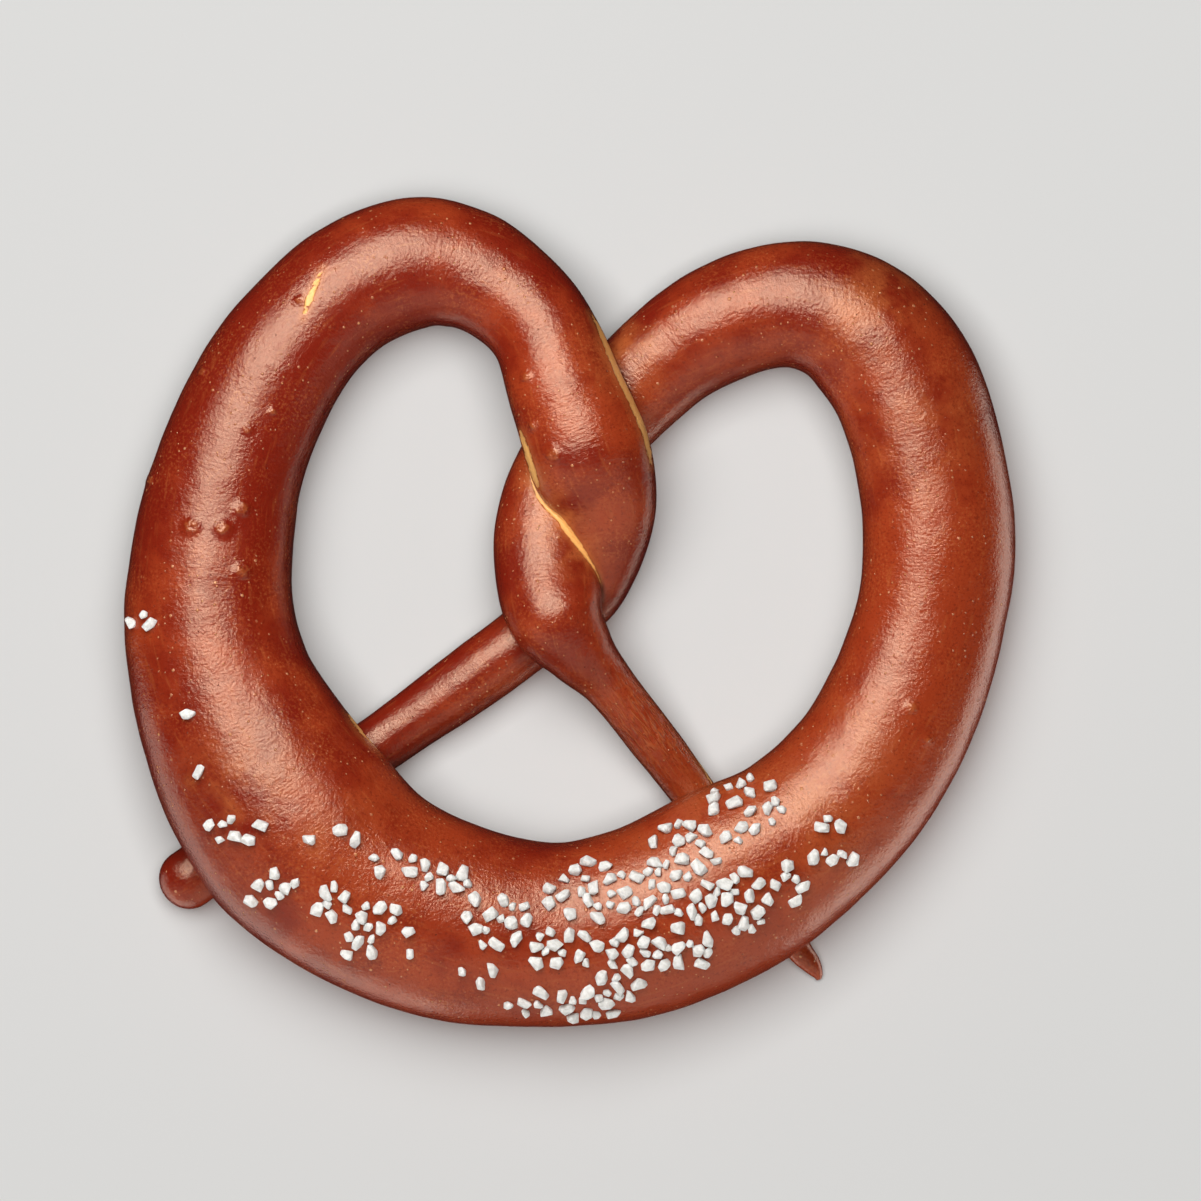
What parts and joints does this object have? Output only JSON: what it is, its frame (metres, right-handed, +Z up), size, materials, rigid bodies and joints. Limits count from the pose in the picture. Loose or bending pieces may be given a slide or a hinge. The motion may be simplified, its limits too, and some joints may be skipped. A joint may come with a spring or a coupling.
{
  "type": "soft pretzel",
  "caption": "Baked soft pretzel of one twisted dough rope: thick belly, two lobes, crossed thin arms tucked under the belly, and coarse salt baked onto its front.",
  "frame": {"origin": "on the surface that the pretzel rests on, under the middle of its outline", "axes": "+X to the right as the salted side is seen from above with the belly towards the viewer, +Y from the belly to the lobes, +Z up through the salted side"},
  "size_m": [0.1498, 0.1396, 0.0284],
  "materials": {
    "crust": "glossy lye-baked pretzel crust, chestnut brown, lighter and orange where the dough was stretched",
    "salt": "matte white coarse baking salt"
  },
  "bodies": {
    "root": {"pretzel": "crust"}
  },
  "joints": []
}
